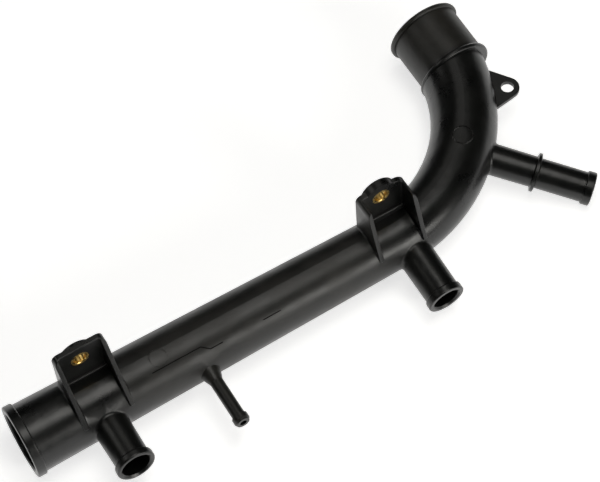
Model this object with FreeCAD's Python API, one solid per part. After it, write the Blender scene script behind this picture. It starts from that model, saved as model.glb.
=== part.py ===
import FreeCAD, Part
import math
import os

# Moulded coolant pipe of an engine, with a brass bolt sleeve in each bracket. Sizes in millimetres, angles
# in degrees. X runs along the straight tube from its open end, the bend lies flat in XY and turns to +Y, and
# the brackets stand up along +Z. The part is drawn with the middle of its open end at the origin, then moved
# so that the point midway between the two bolt axes, on the boss faces that meet the engine, is the origin.
# Those faces look along +Y.

Vector = FreeCAD.Vector
CENTRE = Vector(0, 0, 0)
ALONG = Vector(1, 0, 0)
BACK = Vector(0, 1, 0)
FRONT = Vector(0, -1, 0)
UP = Vector(0, 0, 1)

# Straight tube and its open end
wall = 2.8
tube_run = 208.0
tube_od_open = 36.4
tube_od_bend = 30.5
open_collar_height = 1.0
open_collar_length = 4.9
open_mouth_chamfer = 0.6

# Bend, which stops short of a right angle where the straight spigot takes over
bend_radius = 87.0
bend_turn = 78.0
bend_od_end = 36.6
bend_sections = 9
bend_overrun = 6.0

# Large hose spigot, which rises a little out of the plane of the bend, swings a little past square, and sits
# a little to the outside of the bend's centre line
spigot_od = 38.0
spigot_length = 29.3
spigot_rise = 5.0
spigot_swing = 1.0
spigot_past_bend = 3.4
spigot_shift = 1.2
spigot_bead_height = 1.55
spigot_bead_length = 2.8
stop_height = 1.7
stop_length = 2.8

# Stubs on the front of the straight tube: place along the tube, reach from the tube axis, and turn about it
lower_stub_x = 41.7
lower_stub_reach = 42.4
lower_stub_turn = -3.0
lower_stub_root_od = 19.0
lower_stub_od = 17.6
lower_stub_bead_height = 1.3
lower_stub_bead_length = 4.2
lower_stub_bore = 15.0

upper_stub_past_tube = 9.6
upper_stub_reach = 42.3
upper_stub_turn = 5.0
upper_stub_root_od = 18.8
upper_stub_od = 18.2
upper_stub_bead_height = 0.9
upper_stub_bead_length = 4.2
upper_stub_bore = 14.0

stub_root_fillet = 1.6
stub_mouth_chamfer = 0.9
bead_rounding = 1.1

# Small barbed vent stub with a flared root
vent_x = 96.8
vent_reach = 48.5
vent_od = 6.8
vent_root_od = 11.5
vent_flare_length = 6.5
vent_flare_sink = 1.0
vent_bead_height = 0.8
vent_bead_length = 2.4
vent_nose_length = 1.4
vent_bore = 3.6

# Side stub on the outside of the bend: where it leaves the bend, its heading in plan and its dip
side_stub_at = 46.2
side_stub_heading = -46.5
side_stub_dip = 9.8
side_stub_reach = 70.6
side_stub_root_od = 16.8
side_stub_od = 16.0
side_stub_bead_height = 0.9
side_stub_bead_length = 4.6
side_stub_bore = 11.4
side_ring_from_end = 32.0
side_ring_height = 2.3
side_ring_length = 2.9
side_ring_crest = 1.5

# Bolt brackets: a plate with two fins that reach over the tube, a low rib from fin to fin along the plate's
# foot, and a round boss behind the plate
bolt_spacing = 168.6
lower_bolt_x = 41.6
bolt_height = 33.5
plate_front_y = 6.8
plate_thickness = 2.9
fin_thickness = 2.3
fin_tip_height = 0.8
boss_od = 18.8
boss_proud = 1.5
pocket_rounding = 1.2
cross_rib_below_bolt = 15.3
cross_rib_depth = 1.4
edge_rounding = 0.4
lower_plate_top = 43.0
lower_bracket_width = 27.2
lower_bracket_offset = 0.6
lower_corner_radius = 3.4
lower_fin_forward = 0.6
lower_fin_tip_angle = 151.0
upper_plate_top = 39.6
upper_bracket_width = 27.6
upper_bracket_offset = 0.7
upper_corner_radius = 3.4
upper_bend_side_radius = 6.5
upper_fin_forward = 9.0
upper_fin_tip_angle = 145.5

# Brass sleeves moulded into the bosses
sleeve_od = 9.6
sleeve_bore = 6.8
sleeve_proud = 0.2
sleeve_chamfer = 0.3

# Ear on the outside of the bend
ear_hole = 6.8
ear_tip_radius = 6.4
ear_hole_at = 68.6
ear_hole_out = 7.0
ear_from = 61.7
ear_to = 76.2
ear_thickness = 2.5

# Worked out from the above
bend_centre = Vector(tube_run, bend_radius, 0)
upper_stub_x = tube_run + upper_stub_past_tube
open_collar_od = tube_od_open + 2 * open_collar_height
stop_od = spigot_od + 2 * stop_height
spigot_bead_od = spigot_od + 2 * spigot_bead_height
lower_stub_bead_od = lower_stub_od + 2 * lower_stub_bead_height
upper_stub_bead_od = upper_stub_od + 2 * upper_stub_bead_height
side_stub_bead_od = side_stub_od + 2 * side_stub_bead_height
side_ring_od = side_stub_od + 2 * side_ring_height
vent_bead_od = vent_od + 2 * vent_bead_height
upper_bolt_x = lower_bolt_x + bolt_spacing
boss_face_y = plate_front_y + plate_thickness + boss_proud
reference = Vector(lower_bolt_x + bolt_spacing / 2, boss_face_y, bolt_height)


def tube_radius(x):
    """Outer radius of the straight tube, which narrows steadily towards the bend."""
    share = x / tube_run
    return (tube_od_open + (tube_od_bend - tube_od_open) * share) / 2


def bend_outer_radius(angle):
    """Outer radius of the bend at an angle from its start."""
    share = angle / bend_turn
    return (tube_od_bend + (bend_od_end - tube_od_bend) * share) / 2


def bend_point(angle, distance):
    """Point at an angle round the bend, at a distance from the centre that the bend turns about."""
    turn = math.radians(angle)
    return bend_centre + Vector(math.sin(turn), -math.cos(turn), 0) * distance


def stop_point():
    """Middle of the hose stop's upper face, a little past the end of the bend."""
    turn = math.radians(bend_turn)
    heading = Vector(math.cos(turn), math.sin(turn), 0)
    return bend_point(bend_turn, bend_radius + spigot_shift) + heading * spigot_past_bend


def bar(radius_start, radius_end, start, axis, length):
    """Round bar, tapered where its two radii differ."""
    if abs(radius_start - radius_end) < 1e-6:
        return Part.makeCylinder(radius_start, length, start, axis)
    return Part.makeCone(radius_start, radius_end, length, start, axis)


def turned(profile, start, axis):
    """Body turned about an axis, from pairs of distance along the axis and radius."""
    points = [Vector(radius, 0, distance) for distance, radius in profile]
    first = Vector(0, 0, profile[0][0])
    last = Vector(0, 0, profile[-1][0])
    face = Part.Face(Part.makePolygon([first] + points + [last, first]))
    body = face.revolve(CENTRE, UP, 360)
    body.Placement = FreeCAD.Placement(start, FreeCAD.Rotation(UP, axis))
    return body


def round_rims(body, rim_od, body_od, length):
    """Round both rims of a bead or collar, as far as its height and its length leave room."""
    rounding = min(bead_rounding, 0.4 * (rim_od - body_od), 0.4 * length)
    rims = [edge for edge in body.Edges if is_circle(edge) and abs(edge.Curve.Radius - rim_od / 2) < 1e-3]
    return body.makeFillet(rounding, rims)


def is_circle(edge):
    return isinstance(edge.Curve, Part.Circle)


def swept_bend(inset):
    """The bend as a solid, with every radius smaller by the inset, run straight on into the spigot."""
    rings = []
    for step in range(bend_sections):
        angle = bend_turn * step / (bend_sections - 1)
        rings.append(bend_ring(angle, inset))
    body = Part.makeLoft(rings, True)
    end_radius = bend_outer_radius(bend_turn) - inset
    heading = math.radians(bend_turn)
    axis = Vector(math.cos(heading), math.sin(heading), 0)
    overrun = Part.makeCylinder(end_radius, bend_overrun, bend_point(bend_turn, bend_radius), axis)
    return body.fuse(overrun)


def bend_ring(angle, inset):
    """Circle across the bend at an angle."""
    circle = Part.Circle(Vector(tube_run, 0, 0), ALONG, bend_outer_radius(angle) - inset)
    ring = Part.Wire(circle.toShape())
    ring.rotate(bend_centre, UP, angle)
    return ring


def stub_profile(reach, root_od, od, bead_od, bead_length):
    """Outline of a hose stub from the tube axis to its end: a slight taper, then a blunt bead."""
    return [(0, root_od / 2), (reach - bead_length, od / 2),
            (reach - bead_length, bead_od / 2), (reach, bead_od / 2)]


def front_direction(turn):
    """Direction out of the front of the tube, turned down about the tube axis."""
    angle = math.radians(turn)
    return Vector(0, -math.cos(angle), -math.sin(angle))


def side_direction():
    heading = math.radians(side_stub_heading)
    dip = math.radians(side_stub_dip)
    level = math.cos(dip)
    return Vector(math.cos(heading) * level, math.sin(heading) * level, -math.sin(dip))


def spigot_direction():
    rise = math.radians(spigot_rise)
    swing = math.radians(spigot_swing)
    level = math.cos(rise)
    return Vector(-math.sin(swing) * level, math.cos(swing) * level, math.sin(rise))


def hose_stub(start, axis, reach, root_od, od, bead_od, bead_length):
    body = turned(stub_profile(reach, root_od, od, bead_od, bead_length), start, axis)
    return round_rims(body, bead_od, od, bead_length)


def fillet_root(body, start, axis, root_radius, pipe_radius):
    """Fillet the line where a stub leaves the pipe."""
    edges = [edge for edge in body.Edges if is_root(edge, start, axis, root_radius, pipe_radius)]
    return body.makeFillet(stub_root_fillet, edges)


def is_root(edge, start, axis, root_radius, pipe_radius):
    """Whether an edge runs round the side of a stub, near the wall of the pipe that carries it."""
    for point in edge.discretize(9):
        along = (point - start).dot(axis)
        away = (point - start - axis * along).Length
        if abs(away - root_radius) > 0.08 * root_radius:
            return False
        if along < pipe_radius / 2 or along > 1.2 * pipe_radius:
            return False
    return True


def vent_stub():
    """Vent stub with a flared root, and a small bead with a sloping nose."""
    bead_start = vent_reach - vent_nose_length - vent_bead_length
    flare_start = tube_radius(vent_x) - vent_flare_sink
    profile = [(0, vent_root_od / 2), (flare_start, vent_root_od / 2),
               (flare_start + vent_flare_length, vent_od / 2), (bead_start, vent_od / 2),
               (bead_start, vent_bead_od / 2), (bead_start + vent_bead_length, vent_bead_od / 2),
               (vent_reach, vent_od / 2)]
    return turned(profile, Vector(vent_x, 0, 0), FRONT)


def side_stub(start, axis):
    """Long stub on the bend, with a thin ring part of the way along and a bead at its end."""
    ring_at = side_stub_reach - side_ring_from_end
    taper = (side_stub_root_od - side_stub_od) / 2
    ring_root = side_stub_root_od / 2 - taper * ring_at / side_stub_reach
    crest_start = ring_at + (side_ring_length - side_ring_crest) / 2
    bead_start = side_stub_reach - side_stub_bead_length
    profile = [(0, side_stub_root_od / 2), (ring_at, ring_root),
               (crest_start, side_ring_od / 2), (crest_start + side_ring_crest, side_ring_od / 2),
               (ring_at + side_ring_length, side_stub_od / 2), (bead_start, side_stub_od / 2),
               (bead_start, side_stub_bead_od / 2), (side_stub_reach, side_stub_bead_od / 2)]
    body = turned(profile, start, axis)
    return round_rims(body, side_stub_bead_od, side_stub_od, side_stub_bead_length)


def spigot(axis):
    """Large spigot with a hose stop at its foot and a bead at its end."""
    length = spigot_length + stop_length
    bead_start = length - spigot_bead_length
    profile = [(0, stop_od / 2), (stop_length, stop_od / 2), (stop_length, spigot_od / 2),
               (bead_start, spigot_od / 2), (bead_start, spigot_bead_od / 2), (length, spigot_bead_od / 2)]
    body = turned(profile, stop_point() - axis * stop_length, axis)
    body = round_rims(body, stop_od, spigot_od, stop_length)
    return round_rims(body, spigot_bead_od, spigot_od, spigot_bead_length)


def bracket(middle, width, top, left_radius, right_radius, forward, tip_angle):
    """Plate with a rounded top and two fins in front of it, which run down onto the tube to a blunt tip."""
    left = middle - width / 2
    right = middle + width / 2
    front_y = -tube_od_open / 2
    outline = rounded_top(left, right, top, left_radius, right_radius, front_y)
    block = outline.extrude(Vector(0, plate_front_y + plate_thickness - front_y, 0))
    tip = math.radians(tip_angle)
    radius = tube_radius(middle)
    reach = radius + fin_tip_height
    side = [(0, 0), (plate_front_y + plate_thickness, 0), (plate_front_y + plate_thickness, top),
            (plate_front_y - forward, top), (reach * math.cos(tip), reach * math.sin(tip)), (0, 0)]
    face = Part.Face(Part.makePolygon([Vector(left, y, z) for y, z in side]))
    block = block.common(face.extrude(Vector(width, 0, 0)))
    block = block.cut(pocket(left + fin_thickness, right - fin_thickness, top, front_y))
    block = block.makeFillet(edge_rounding, [edge for edge in block.Edges if is_rim(edge, block, radius)])
    return block.fuse(cross_rib(left + fin_thickness / 2, right - fin_thickness / 2))


def cross_rib(left, right):
    """Low rib along the foot of a bracket's plate, with its front edge rounded."""
    depth = cross_rib_depth + plate_thickness / 2
    height = bolt_height - cross_rib_below_bolt
    rib = Part.makeBox(right - left, depth, height, Vector(left, plate_front_y - cross_rib_depth, 0))
    front = [edge for edge in rib.Edges if edge.CenterOfMass.z > height * 0.9
             and edge.CenterOfMass.y < plate_front_y - cross_rib_depth * 0.9]
    return rib.makeFillet(edge_rounding, front)


def is_rim(edge, block, radius):
    """Whether an edge of a bracket is a sharp outer edge that shows above the tube."""
    for point in edge.discretize(5):
        if math.hypot(point.y, point.z) < radius - wall:
            return False
    middle = edge.valueAt((edge.FirstParameter + edge.LastParameter) / 2)
    normals = []
    for face in block.ancestorsOfType(edge, Part.Face):
        u, v = face.Surface.parameter(middle)
        normals.append(face.normalAt(u, v))
    return abs(normals[0].dot(normals[1])) < 0.9


def rounded_top(left, right, top, left_radius, right_radius, y):
    """Upright face that is square at its foot and rounded at its two top corners."""
    def corner(x, z):
        return Vector(x, y, z)
    slant = math.sqrt(0.5)
    left_mid = corner(left + left_radius * (1 - slant), top - left_radius * (1 - slant))
    right_mid = corner(right - right_radius * (1 - slant), top - right_radius * (1 - slant))
    edges = [
        Part.makeLine(corner(left, 0), corner(left, top - left_radius)),
        Part.Arc(corner(left, top - left_radius), left_mid, corner(left + left_radius, top)).toShape(),
        Part.makeLine(corner(left + left_radius, top), corner(right - right_radius, top)),
        Part.Arc(corner(right - right_radius, top), right_mid, corner(right, top - right_radius)).toShape(),
        Part.makeLine(corner(right, top - right_radius), corner(right, 0)),
        Part.makeLine(corner(right, 0), corner(left, 0)),
    ]
    return Part.Face(Part.Wire(edges))


def pocket(left, right, top, front_y):
    """Space between the fins, open to the front and the top, with rounded back corners."""
    depth = plate_front_y - front_y
    box = Part.makeBox(right - left, depth, 2 * top, Vector(left, front_y, -top / 2))
    corners = []
    for edge in box.Edges:
        upright = abs(edge.tangentAt(edge.FirstParameter).z) > 0.99
        if upright and abs(edge.CenterOfMass.y - plate_front_y) < 1e-3:
            corners.append(edge)
    return box.makeFillet(pocket_rounding, corners)


def boss(bolt_x):
    """Round boss behind the plate, from the plate's front face to the face that meets the engine."""
    length = boss_face_y - plate_front_y
    body = Part.makeCylinder(boss_od / 2, length, Vector(bolt_x, plate_front_y, bolt_height), BACK)
    halfway = plate_front_y + length / 2
    rim = [edge for edge in body.Edges if is_circle(edge) and edge.CenterOfMass.y > halfway]
    return body.makeFillet(edge_rounding, rim)


def ear():
    """Flat ear in the plane of the bend, round at its tip and straight down to the bend on both sides."""
    tip_centre = bend_point(ear_hole_at, bend_radius + bend_outer_radius(ear_hole_at) + ear_hole_out)
    low = ear_foot(ear_from)
    high = ear_foot(ear_to)
    low_touch = tangent_point(low, tip_centre, ear_tip_radius, 1)
    high_touch = tangent_point(high, tip_centre, ear_tip_radius, -1)
    outward = tip_centre - bend_centre
    outward.normalize()
    tip = tip_centre + outward * ear_tip_radius
    edges = [
        Part.makeLine(low, low_touch),
        Part.Arc(low_touch, tip, high_touch).toShape(),
        Part.makeLine(high_touch, high),
        Part.makeLine(high, low),
    ]
    tab = Part.Face(Part.Wire(edges)).extrude(Vector(0, 0, ear_thickness))
    tab.translate(Vector(0, 0, -ear_thickness / 2))
    outer_edges = [edge for edge in tab.Edges if abs(edge.CenterOfMass.z) > ear_thickness / 4]
    tab = tab.makeFillet(edge_rounding, outer_edges)
    hole_start = tip_centre - Vector(0, 0, ear_thickness)
    return tab.cut(Part.makeCylinder(ear_hole / 2, 2 * ear_thickness, hole_start, UP))


def ear_foot(angle):
    """Point inside the wall of the bend from which one side of the ear starts."""
    return bend_point(angle, bend_radius + bend_outer_radius(angle) - wall / 2)


def tangent_point(point, centre, radius, side):
    """Where a straight line from a point in the plane of the bend touches a circle, on the chosen side."""
    offset = point - centre
    base = math.atan2(offset.y, offset.x)
    swing = math.acos(radius / offset.Length)
    angle = base + side * swing
    return centre + Vector(math.cos(angle), math.sin(angle), 0) * radius


def passage(side_start, side_axis, spigot_axis):
    """Everything inside the pipe that coolant flows through."""
    bore_open = tube_od_open / 2 - wall
    bore_bend = tube_od_bend / 2 - wall
    spigot_bore = spigot_od / 2 - wall
    mouth = open_mouth_chamfer
    stop_centre = stop_point()
    spigot_start = stop_centre - spigot_axis * (stop_length / 2)
    spigot_end = stop_centre + spigot_axis * spigot_length
    hollow = bar(bore_open, bore_bend, CENTRE, ALONG, tube_run)
    hollow = hollow.fuse(Part.makeCone(bore_open + mouth, bore_open, mouth, CENTRE, ALONG))
    hollow = hollow.fuse(swept_bend(wall))
    spigot_hollow_length = spigot_length + stop_length / 2
    hollow = hollow.fuse(Part.makeCylinder(spigot_bore, spigot_hollow_length, spigot_start, spigot_axis))
    mouth_start = spigot_end - spigot_axis * mouth
    hollow = hollow.fuse(Part.makeCone(spigot_bore, spigot_bore + mouth, mouth, mouth_start, spigot_axis))
    lower_axis = front_direction(lower_stub_turn)
    upper_axis = front_direction(upper_stub_turn)
    hollow = hollow.fuse(stub_bore(Vector(lower_stub_x, 0, 0), lower_axis, lower_stub_reach, lower_stub_bore))
    hollow = hollow.fuse(stub_bore(Vector(upper_stub_x, 0, 0), upper_axis, upper_stub_reach, upper_stub_bore))
    hollow = hollow.fuse(stub_bore(side_start, side_axis, side_stub_reach, side_stub_bore))
    return hollow.fuse(Part.makeCylinder(vent_bore / 2, vent_reach, Vector(vent_x, 0, 0), FRONT))


def stub_bore(start, axis, reach, bore):
    """Bore of a hose stub, wider at its mouth."""
    mouth = stub_mouth_chamfer
    mouth_start = start + axis * (reach - mouth)
    straight = Part.makeCylinder(bore / 2, reach, start, axis)
    return straight.fuse(Part.makeCone(bore / 2, bore / 2 + mouth, mouth, mouth_start, axis))


def pipe_body():
    """The whole moulding."""
    side_start = bend_point(side_stub_at, bend_radius)
    side_axis = side_direction()
    lower_start = Vector(lower_stub_x, 0, 0)
    lower_axis = front_direction(lower_stub_turn)
    upper_start = Vector(upper_stub_x, 0, 0)
    upper_axis = front_direction(upper_stub_turn)
    spigot_axis = spigot_direction()

    tube = bar(tube_od_open / 2, tube_od_bend / 2, CENTRE, ALONG, tube_run)
    bend = swept_bend(0)
    inside_stop = stop_point() - spigot_axis * (stop_length / 2)
    past_stop = Part.makeCylinder(2 * spigot_od, 2 * spigot_od, inside_stop, spigot_axis)
    body = tube.fuse(bend.cut(past_stop))
    body = body.fuse(hose_stub(lower_start, lower_axis, lower_stub_reach, lower_stub_root_od,
                               lower_stub_od, lower_stub_bead_od, lower_stub_bead_length))
    body = body.fuse(hose_stub(upper_start, upper_axis, upper_stub_reach, upper_stub_root_od,
                               upper_stub_od, upper_stub_bead_od, upper_stub_bead_length))
    body = body.fuse(side_stub(side_start, side_axis))
    body = fillet_root(body, lower_start, lower_axis, lower_stub_root_od / 2, tube_od_open / 2)
    body = fillet_root(body, upper_start, upper_axis, upper_stub_root_od / 2, tube_od_open / 2)
    body = fillet_root(body, side_start, side_axis, side_stub_root_od / 2, bend_od_end / 2)
    body = body.fuse(vent_stub())

    collar = Part.makeCylinder(open_collar_od / 2, open_collar_length, CENTRE, ALONG)
    body = body.fuse(round_rims(collar, open_collar_od, tube_od_open, open_collar_length))
    body = body.fuse(spigot(spigot_axis))
    body = body.fuse(ear())
    body = body.fuse(bracket(lower_bolt_x + lower_bracket_offset, lower_bracket_width, lower_plate_top,
                             lower_corner_radius, lower_corner_radius, lower_fin_forward,
                             lower_fin_tip_angle))
    body = body.fuse(bracket(upper_bolt_x + upper_bracket_offset, upper_bracket_width, upper_plate_top,
                             upper_corner_radius, upper_bend_side_radius, upper_fin_forward,
                             upper_fin_tip_angle))
    for bolt_x in (lower_bolt_x, upper_bolt_x):
        body = body.fuse(boss(bolt_x))
    body = body.cut(passage(side_start, side_axis, spigot_axis))
    for bolt_x in (lower_bolt_x, upper_bolt_x):
        body = body.cut(Part.makeCylinder(sleeve_od / 2, boss_face_y - plate_front_y,
                                          Vector(bolt_x, plate_front_y, bolt_height), BACK))
    return body


def sleeve(bolt_x):
    """Brass bolt sleeve, level with the plate in front and just proud of the boss face behind."""
    length = boss_face_y + sleeve_proud - plate_front_y
    start = Vector(bolt_x, plate_front_y, bolt_height)
    body = Part.makeCylinder(sleeve_od / 2, length, start, BACK)
    body = body.cut(Part.makeCylinder(sleeve_bore / 2, length, start, BACK))
    wide = sleeve_bore / 2 + sleeve_chamfer
    body = body.cut(Part.makeCone(wide, sleeve_bore / 2, sleeve_chamfer, start, BACK))
    return body.cut(Part.makeCone(wide, sleeve_bore / 2, sleeve_chamfer, start + BACK * length, FRONT))


def save(shape, node):
    """Write one piece in the part's frame."""
    shape.translate(-reference)
    print(node, "solids", len(shape.Solids), "valid", shape.isValid(), "volume", round(shape.Volume, 1))
    shape.exportStep("parts/" + node + ".step")


os.makedirs("parts", exist_ok=True)
save(pipe_body(), "pipe_body")
save(sleeve(lower_bolt_x), "lower_bracket_sleeve")
save(sleeve(upper_bolt_x), "upper_bracket_sleeve")
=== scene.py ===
import math
import bmesh
import bpy
from mathutils import Matrix, Vector
from mathutils.bvhtree import BVHTree


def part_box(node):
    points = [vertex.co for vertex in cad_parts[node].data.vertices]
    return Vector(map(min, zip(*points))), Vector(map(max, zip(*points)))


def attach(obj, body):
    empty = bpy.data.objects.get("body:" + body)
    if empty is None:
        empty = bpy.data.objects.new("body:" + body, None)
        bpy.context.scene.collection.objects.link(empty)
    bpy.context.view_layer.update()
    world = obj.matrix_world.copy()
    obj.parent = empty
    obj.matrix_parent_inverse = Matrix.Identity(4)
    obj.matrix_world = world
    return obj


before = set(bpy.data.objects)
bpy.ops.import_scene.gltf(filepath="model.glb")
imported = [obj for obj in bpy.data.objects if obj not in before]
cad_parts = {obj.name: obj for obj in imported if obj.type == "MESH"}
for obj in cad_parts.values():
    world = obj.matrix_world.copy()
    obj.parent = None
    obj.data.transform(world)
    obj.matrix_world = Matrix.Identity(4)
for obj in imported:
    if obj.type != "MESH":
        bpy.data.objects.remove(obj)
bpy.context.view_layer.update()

# Lengths below are in millimetres, and places are in the pipe's own drawing frame, which starts at the
# middle of its open end. Angles are in degrees, and those round the tube turn from +Y up to +Z.
MM = 0.001
REFERENCE = Vector((125.9, 11.2, 33.5))
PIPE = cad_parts["pipe_body"]
LOWEST_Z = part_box("pipe_body")[0].z

# Small marks left by the mould, raised on the surface of the pipe
MARK_SINK = 0.06
GATE_CENTRE = (270.2, 25.0)
GATE_RADIUS = 5.15
GATE_WIDTH = 0.8
GATE_HEIGHT = 0.5
GATE_BEADS = 20
DISC_CENTRE = (76.4, -3.7)
DISC_RADIUS = 4.5
DISC_WIDTH = 0.6
DISC_HEIGHT = 0.12
RING_STATIONS = 120
ABOVE_PIPE = 60.0
BEAD_MEAN = 0.7
BEAD_SWELL = 0.3

# Parting line, in two runs along the tube: the first steps to a lower line partway
PARTING_LOW_RUN = (70.0, 108.0)
PARTING_HIGH_RUN = (131.0, 141.0)
PARTING_UPPER_ANGLE = 121.0
PARTING_LOWER_ANGLE = 132.0
PARTING_STEP_FROM = 97.0
PARTING_STEP_TO = 101.0
PARTING_WIDTH = 0.6
PARTING_HEIGHT = 0.2

# Fillets where the bracket fins meet the tube: x of each side of a fin with the way that it faces, and the
# angles round the tube between which its fillet runs
FILLET_RADIUS = 1.1
FILLET_SINK = 0.15
FILLET_STEPS = 28
FILLET_ARC_STEPS = 6
FILLET_TIP_SHARE = 0.25
FILLET_FADE = 3.0
FOOT_BESIDE_FIN = 0.1
RAY_START = 21.0
OUTER_SIDE_START = 55.0
INNER_SIDE_START = 76.0
LOWER_FIN_TIP = 148.0
UPPER_FIN_TIP = 143.0
LOWER_FIN_SIDES = ((28.6, -1), (30.9, 1), (53.5, -1), (55.8, 1))
UPPER_FIN_SIDES = ((197.1, -1), (199.4, 1), (222.4, -1), (224.7, 1))

# Colours, in pairs that a surface drifts between
PLASTIC_DEEP = ((0.0018, 0.0022, 0.0019), (0.0045, 0.0048, 0.0042))
PLASTIC_GREY = ((0.011, 0.0105, 0.0085), (0.024, 0.022, 0.018))
SEAM_DARK = ((0.0015, 0.0014, 0.0012), (0.006, 0.005, 0.004))
BRASS_YELLOW = ((0.86, 0.62, 0.22), (0.62, 0.4, 0.13))
FLOOR_WHITE = ((0.94, 0.94, 0.94), (0.95, 0.95, 0.95))
FLOOR_GLOW = 0.68

# Where the plastic goes from glossy, at the first place of each pair, to dull grey at the second
DULL_FROM_X = (48.0, 70.0)
DULL_TO_X = (215.0, 190.0)
DULL_TO_Y = (30.0, 20.0)
DULL_SPIGOT_Y = (70.0, 73.5)
DULL_ON_TUBE = 0.75
DULL_ROUGHER = 0.16

# Sockets of a colour mix
MIX_FIRST = 6
MIX_SECOND = 7
MIX_RESULT = 2

# Camera, with its clipping distances in metres
LENS = 132.0
SENSOR_WIDTH = 36.0
CLIP_START = 0.05
CLIP_END = 50.0
CAMERA_AT = Vector((-81.63, -491.19, 952.48))
CAMERA_RIGHT = Vector((0.857, -0.513, -0.0492))
CAMERA_BACK = Vector((-0.2283, -0.4636, 0.8561))

# Stage and light, in metres, apart from the place that the lights look at. Each light has a direction from
# there, a distance, a width, a height and a brightness.
STAGE_SIDES = 96
FLOOR_RADII = (0.0001, 1.0, 3.0)
WALL_CURVE = 2.0
WALL_CURVE_STEPS = 12
WALL_HEIGHT = 5.0
WORLD_STRENGTH = 0.015
LIGHT_COLOUR = (1.0, 0.985, 0.94)
LIT_POINT = (165.0, 20.0, 0.0)
LIGHTS = (
    ("softbox_over", (0.1, -0.12, 1.0), 1.3, 0.85, 0.5, 3.4),
    ("softbox_front", (0.45, -1.0, 0.32), 1.4, 0.9, 0.4, 3.9),
    ("softbox_back", (-0.6, 0.55, 0.75), 1.5, 0.6, 0.5, 1.2),
    ("softbox_far", (0.23, 0.46, 0.86), 1.6, 0.9, 0.7, 0.5),
    ("softbox_stub", (0.265, -0.866, 0.424), 1.44, 0.34, 0.24, 9.0),
)


def place(x, y, z):
    """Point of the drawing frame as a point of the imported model, in metres."""
    return (Vector((x, y, z)) - REFERENCE) * MM


def round_tube(angle):
    """Direction out of the tube at an angle round it."""
    turn = math.radians(angle)
    return Vector((0.0, math.cos(turn), math.sin(turn)))


# Materials

class Surface:
    """A material with its shader, and the nodes that feed it."""

    def __init__(self, name):
        self.material = bpy.data.materials.new(name)
        self.material.use_nodes = True
        self.nodes = self.material.node_tree.nodes
        self.links = self.material.node_tree.links
        self.inputs = self.nodes["Principled BSDF"].inputs
        self.coords = self.nodes.new("ShaderNodeTexCoord").outputs["Object"]

    def feed(self, socket, value):
        """Link another node's output to a socket, or set the socket to a number or a colour."""
        if isinstance(value, bpy.types.NodeSocket):
            self.links.new(value, socket)
        elif isinstance(value, tuple):
            socket.default_value = (*value, 1.0)
        else:
            socket.default_value = value

    def noise(self, scale, detail, roughness=0.5):
        node = self.nodes.new("ShaderNodeTexNoise")
        node.inputs["Scale"].default_value = scale
        node.inputs["Detail"].default_value = detail
        node.inputs["Roughness"].default_value = roughness
        self.links.new(self.coords, node.inputs["Vector"])
        return node.outputs["Fac"]

    def spread(self, source, band, onto):
        """Map a band of a value onto another band, held at its ends."""
        node = self.nodes.new("ShaderNodeMapRange")
        for name, value in zip(("From Min", "From Max", "To Min", "To Max"), (*band, *onto)):
            node.inputs[name].default_value = value
        self.links.new(source, node.inputs["Value"])
        return node.outputs["Result"]

    def blend(self, factor, first, second):
        """Mix two colours."""
        node = self.nodes.new("ShaderNodeMix")
        node.data_type = "RGBA"
        self.links.new(factor, node.inputs["Factor"])
        self.feed(node.inputs[MIX_FIRST], first)
        self.feed(node.inputs[MIX_SECOND], second)
        return node.outputs[MIX_RESULT]

    def calculate(self, operation, first, second):
        """Sum or product of two values, held between 0 and 1."""
        node = self.nodes.new("ShaderNodeMath")
        node.operation = operation
        node.use_clamp = True
        self.feed(node.inputs[0], first)
        self.feed(node.inputs[1], second)
        return node.outputs["Value"]

    def bump(self, height, strength, distance, under=None):
        """Relief of a depth in metres, over another relief where one is given."""
        node = self.nodes.new("ShaderNodeBump")
        node.inputs["Strength"].default_value = strength
        node.inputs["Distance"].default_value = distance
        self.links.new(height, node.inputs["Height"])
        if under is not None:
            self.links.new(under, node.inputs["Normal"])
        return node.outputs["Normal"]

    def ramp(self, axis, start, end):
        """0 at the start and 1 at the end, and held beyond them, along one axis of the drawing frame."""
        parts = self.nodes.new("ShaderNodeSeparateXYZ")
        self.links.new(self.coords, parts.inputs["Vector"])
        zero = REFERENCE["XYZ".index(axis)]
        low = (start - zero) * MM
        high = (end - zero) * MM
        if low > high:
            return self.spread(parts.outputs[axis], (high, low), (1.0, 0.0))
        return self.spread(parts.outputs[axis], (low, high), (0.0, 1.0))


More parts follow.
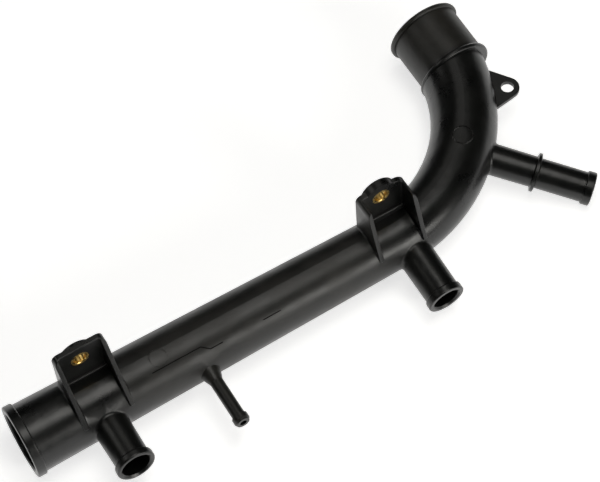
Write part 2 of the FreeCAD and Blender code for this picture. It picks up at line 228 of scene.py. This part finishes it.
def plastic(name):
    """Near-black glass-filled moulded plastic, glossy on the bend, with dull grey flow patches on the tube
    and the spigot."""
    surface = Surface(name)
    clouds = surface.noise(scale=55.0, detail=5.0, roughness=0.6)
    patches = surface.noise(scale=26.0, detail=3.0, roughness=0.6)
    specks = surface.noise(scale=900.0, detail=4.0, roughness=0.7)
    grain = surface.noise(scale=2600.0, detail=3.0, roughness=0.6)
    waves = surface.noise(scale=95.0, detail=2.0)

    past_lower = surface.ramp("X", *DULL_FROM_X)
    before_upper = surface.ramp("X", *DULL_TO_X)
    before_bend = surface.ramp("Y", *DULL_TO_Y)
    middle = surface.calculate("MULTIPLY", past_lower, before_upper)
    middle = surface.calculate("MULTIPLY", middle, before_bend)
    spigot = surface.ramp("Y", *DULL_SPIGOT_Y)
    dull = surface.calculate("ADD", surface.calculate("MULTIPLY", middle, DULL_ON_TUBE), spigot)
    dull = surface.calculate("MULTIPLY", dull, surface.spread(patches, (0.3, 0.6), (0.45, 1.0)))

    tint = surface.spread(clouds, (0.35, 0.65), (0.0, 1.0))
    deep = surface.blend(tint, *PLASTIC_DEEP)
    grey = surface.blend(tint, *PLASTIC_GREY)
    surface.feed(surface.inputs["Base Color"], surface.blend(dull, deep, grey))

    rough = surface.spread(clouds, (0.3, 0.7), (0.25, 0.36))
    rough = surface.calculate("ADD", rough, surface.calculate("MULTIPLY", dull, DULL_ROUGHER))
    rough = surface.calculate("ADD", rough, surface.spread(specks, (0.55, 0.75), (0.0, 0.04)))
    surface.feed(surface.inputs["Roughness"], rough)
    surface.feed(surface.inputs["Specular IOR Level"], 0.5)
    surface.feed(surface.inputs["IOR"], 1.52)
    normal = surface.bump(grain, strength=0.2, distance=0.00006)
    normal = surface.bump(specks, strength=0.05, distance=0.0001, under=normal)
    normal = surface.bump(waves, strength=0.35, distance=0.0006, under=normal)
    surface.feed(surface.inputs["Normal"], normal)
    return surface.material


def seam(name):
    """Dull dark edge of flash along the mould's parting line."""
    surface = Surface(name)
    grain = surface.noise(scale=700.0, detail=3.0)
    surface.feed(surface.inputs["Base Color"], surface.blend(grain, *SEAM_DARK))
    surface.feed(surface.inputs["Roughness"], 0.75)
    surface.feed(surface.inputs["Specular IOR Level"], 0.15)
    surface.feed(surface.inputs["Normal"], surface.bump(grain, strength=0.3, distance=0.00005))
    return surface.material


def brass(name):
    """Turned brass with a fine grain and a little tarnish."""
    surface = Surface(name)
    tarnish = surface.noise(scale=420.0, detail=4.0)
    grain = surface.noise(scale=3000.0, detail=2.0)
    tint = surface.spread(tarnish, (0.4, 0.7), (0.0, 1.0))
    surface.feed(surface.inputs["Base Color"], surface.blend(tint, *BRASS_YELLOW))
    surface.feed(surface.inputs["Metallic"], 1.0)
    surface.feed(surface.inputs["Roughness"], surface.spread(tarnish, (0.3, 0.7), (0.2, 0.36)))
    surface.feed(surface.inputs["Normal"], surface.bump(grain, strength=0.2, distance=0.00004))
    return surface.material


def paper(name):
    """Plain pale floor."""
    surface = Surface(name)
    tint = surface.spread(surface.noise(scale=3.0, detail=2.0), (0.3, 0.7), (0.0, 1.0))
    surface.feed(surface.inputs["Base Color"], surface.blend(tint, *FLOOR_WHITE))
    surface.feed(surface.inputs["Roughness"], 0.9)
    surface.feed(surface.inputs["Specular IOR Level"], 0.1)
    surface.feed(surface.inputs["Emission Color"], (1.0, 1.0, 1.0))
    surface.feed(surface.inputs["Emission Strength"], FLOOR_GLOW)
    return surface.material


PLASTIC = plastic("moulded_plastic_black")
SEAM = seam("moulded_plastic_seam")
BRASS = brass("brass_turned")
FLOOR = paper("pale_floor")

NODE_MATERIALS = (
    ("pipe_body", PLASTIC),
    ("lower_bracket_sleeve", BRASS),
    ("upper_bracket_sleeve", BRASS),
)
for node_name, node_material in NODE_MATERIALS:
    for material_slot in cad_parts[node_name].material_slots:
        material_slot.material = node_material


# Details raised on the moulding

SKIN = BVHTree.FromObject(PIPE, bpy.context.evaluated_depsgraph_get())


def hit(x, y, z, direction):
    """Point on the pipe and its normal where a ray from a point of the drawing frame lands, in metres."""
    point, normal, _, _ = SKIN.ray_cast(place(x, y, z), Vector(direction).normalized())
    return point, normal


def hit_round(x, angle):
    """Where a ray towards the tube's axis lands, at a place along the tube and an angle round it."""
    out = round_tube(angle)
    return hit(x, RAY_START * out.y, RAY_START * out.z, -out)


def add_piece(name, rings, closed, material):
    """Solid swept through a row of rings of points, either round to its start or capped at both ends."""
    sides = len(rings[0])
    points = [point for ring in rings for point in ring]
    faces = []
    spans = len(rings) if closed else len(rings) - 1
    for ring in range(spans):
        following = (ring + 1) % len(rings)
        for side in range(sides):
            beside = (side + 1) % sides
            faces.append((ring * sides + side, ring * sides + beside,
                          following * sides + beside, following * sides + side))
    if not closed:
        faces.append(tuple(range(sides))[::-1])
        faces.append(tuple((len(rings) - 1) * sides + side for side in range(sides)))
    mesh = bpy.data.meshes.new(name)
    mesh.from_pydata(points, [], faces)
    mesh.materials.append(material)
    piece = bpy.data.objects.new(name, mesh)
    bpy.context.scene.collection.objects.link(piece)
    edit = bmesh.new()
    edit.from_mesh(mesh)
    bmesh.ops.recalc_face_normals(edit, faces=edit.faces)
    edit.to_mesh(mesh)
    edit.free()
    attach(piece, "root")


def add_ridge(name, track, width, height, closed, material, beads=0):
    """Low ridge that follows a track of surface points and normals, and swells into beads where any are
    asked for."""
    rings = []
    for index, (point, normal) in enumerate(track):
        before = track[index - 1][0] if closed or index > 0 else point
        after = track[(index + 1) % len(track)][0] if closed or index < len(track) - 1 else point
        across = normal.cross(after - before).normalized()
        foot = across * (width / 2) * MM
        crest = across * (width / 4) * MM
        down = normal * MARK_SINK * MM
        swell = BEAD_MEAN + BEAD_SWELL * math.cos(2.0 * math.pi * beads * index / len(track))
        rise = normal * height * swell * MM
        rings.append([point - foot - down, point - crest + rise, point + crest + rise, point + foot - down])
    add_piece(name, rings, closed, material)


def add_top_ring(name, centre, radius, width, height, beads=0):
    """Ridge in a circle, seen from above, on the top of the pipe."""
    track = []
    for station in range(RING_STATIONS):
        turn = 2.0 * math.pi * station / RING_STATIONS
        x = centre[0] + radius * math.cos(turn)
        y = centre[1] + radius * math.sin(turn)
        track.append(hit(x, y, ABOVE_PIPE, (0, 0, -1)))
    add_ridge(name, track, width, height, True, PLASTIC, beads)


def add_parting_line(name, start, end):
    """Ridge along the tube, which steps down to a lower line where the two mould parts meet."""
    track = []
    for station in range(int(end - start) + 1):
        x = start + station
        share = (x - PARTING_STEP_FROM) / (PARTING_STEP_TO - PARTING_STEP_FROM)
        share = min(1.0, max(0.0, share))
        angle = PARTING_UPPER_ANGLE + (PARTING_LOWER_ANGLE - PARTING_UPPER_ANGLE) * share
        track.append(hit_round(x, angle))
    add_ridge(name, track, PARTING_WIDTH, PARTING_HEIGHT, False, SEAM)


def add_fillet(name, face_x, side, first_angle, tip_angle):
    """Hollow fillet between the tube and one side of a fin, which fades out at the fin's tip."""
    beside = Vector((side, 0.0, 0.0)) * MM
    rings = []
    for step in range(FILLET_STEPS + 1):
        share = step / FILLET_STEPS
        angle = first_angle + (tip_angle - first_angle) * share
        out = round_tube(angle) * MM
        radius = FILLET_RADIUS * min(1.0, FILLET_TIP_SHARE + FILLET_FADE * (1.0 - share))
        foot = hit_round(face_x + side * FOOT_BESIDE_FIN, angle)[0]
        foot.x = place(face_x, 0.0, 0.0).x
        middle = foot + (beside + out) * radius
        ring = [foot + out * radius - beside * FILLET_SINK]
        for arc_step in range(FILLET_ARC_STEPS + 1):
            bend = math.radians(90.0 * arc_step / FILLET_ARC_STEPS)
            ring.append(middle - beside * radius * math.cos(bend) - out * radius * math.sin(bend))
        ring.append(foot + beside * radius - out * FILLET_SINK)
        ring.append(foot - (beside + out) * FILLET_SINK)
        rings.append(ring)
    add_piece(name, rings, False, PLASTIC)


def add_bracket_fillets(bracket, fin_sides, tip_angle):
    """Fillets on both sides of both fins of a bracket. Those outside the pair start lower on the back."""
    for number, (face_x, side) in enumerate(fin_sides):
        outer = number in (0, len(fin_sides) - 1)
        first_angle = OUTER_SIDE_START if outer else INNER_SIDE_START
        add_fillet(f"{bracket}_fin_fillet_{number + 1}", face_x, side, first_angle, tip_angle)


add_top_ring("gate_ring", GATE_CENTRE, GATE_RADIUS, GATE_WIDTH, GATE_HEIGHT, GATE_BEADS)
add_top_ring("tube_disc_ring", DISC_CENTRE, DISC_RADIUS, DISC_WIDTH, DISC_HEIGHT)
add_parting_line("parting_line_low", *PARTING_LOW_RUN)
add_parting_line("parting_line_high", *PARTING_HIGH_RUN)
add_bracket_fillets("lower", LOWER_FIN_SIDES, LOWER_FIN_TIP)
add_bracket_fillets("upper", UPPER_FIN_SIDES, UPPER_FIN_TIP)


# Floor, camera and light

def add_stage(name, rows):
    """Part of the pale stage: a surface turned about the upright, from pairs of radius and height over the
    floor."""
    points = []
    for radius, height in rows:
        for side in range(STAGE_SIDES):
            turn = 2.0 * math.pi * side / STAGE_SIDES
            points.append((radius * math.cos(turn), radius * math.sin(turn), LOWEST_Z + height))
    faces = []
    for row in range(len(rows) - 1):
        for side in range(STAGE_SIDES):
            following = (side + 1) % STAGE_SIDES
            low = row * STAGE_SIDES
            high = low + STAGE_SIDES
            faces.append((low + side, high + side, high + following, low + following))
    mesh = bpy.data.meshes.new(name)
    mesh.from_pydata(points, [], faces)
    mesh.shade_smooth()
    mesh.materials.append(FLOOR)
    piece = bpy.data.objects.new(name, mesh)
    bpy.context.scene.collection.objects.link(piece)
    return piece


def add_floor_and_wall():
    add_stage("floor", [(radius, 0.0) for radius in FLOOR_RADII])
    edge = FLOOR_RADII[-1]
    rows = [(edge, 0.0)]
    for step in range(1, WALL_CURVE_STEPS + 1):
        angle = math.radians(90.0 * step / WALL_CURVE_STEPS)
        rows.append((edge + WALL_CURVE * math.sin(angle), WALL_CURVE * (1.0 - math.cos(angle))))
    rows.append((edge + WALL_CURVE, WALL_HEIGHT))
    wall = add_stage("backdrop", rows)
    wall.visible_glossy = False
    wall.visible_diffuse = False


def add_camera():
    data = bpy.data.cameras.new("camera")
    data.lens = LENS
    data.sensor_width = SENSOR_WIDTH
    data.clip_start = CLIP_START
    data.clip_end = CLIP_END
    camera = bpy.data.objects.new("camera", data)
    bpy.context.scene.collection.objects.link(camera)
    back = CAMERA_BACK.normalized()
    right = (CAMERA_RIGHT - back * CAMERA_RIGHT.dot(back)).normalized()
    up = back.cross(right)
    turn = Matrix((right, up, back)).transposed().to_4x4()
    camera.matrix_world = Matrix.Translation(place(*CAMERA_AT)) @ turn
    bpy.context.scene.camera = camera


def add_world():
    world = bpy.data.worlds.new("studio")
    world.use_nodes = True
    background = world.node_tree.nodes["Background"]
    background.inputs["Color"].default_value = (1.0, 1.0, 1.0, 1.0)
    background.inputs["Strength"].default_value = WORLD_STRENGTH
    bpy.context.scene.world = world


def add_light(name, direction, distance, width, height, brightness):
    """Rectangular soft light that looks at the middle of the pipe."""
    data = bpy.data.lights.new(name, "AREA")
    data.shape = "RECTANGLE"
    data.size = width
    data.size_y = height
    data.energy = brightness * math.pi * width * height
    data.color = LIGHT_COLOUR
    light = bpy.data.objects.new(name, data)
    bpy.context.scene.collection.objects.link(light)
    toward = Vector(direction).normalized()
    light.rotation_mode = "QUATERNION"
    light.rotation_quaternion = toward.to_track_quat("Z", "Y")
    light.location = place(*LIT_POINT) + toward * distance


add_floor_and_wall()
add_camera()
add_world()
for softbox in LIGHTS:
    add_light(*softbox)
bpy.context.scene.view_settings.view_transform = "Standard"
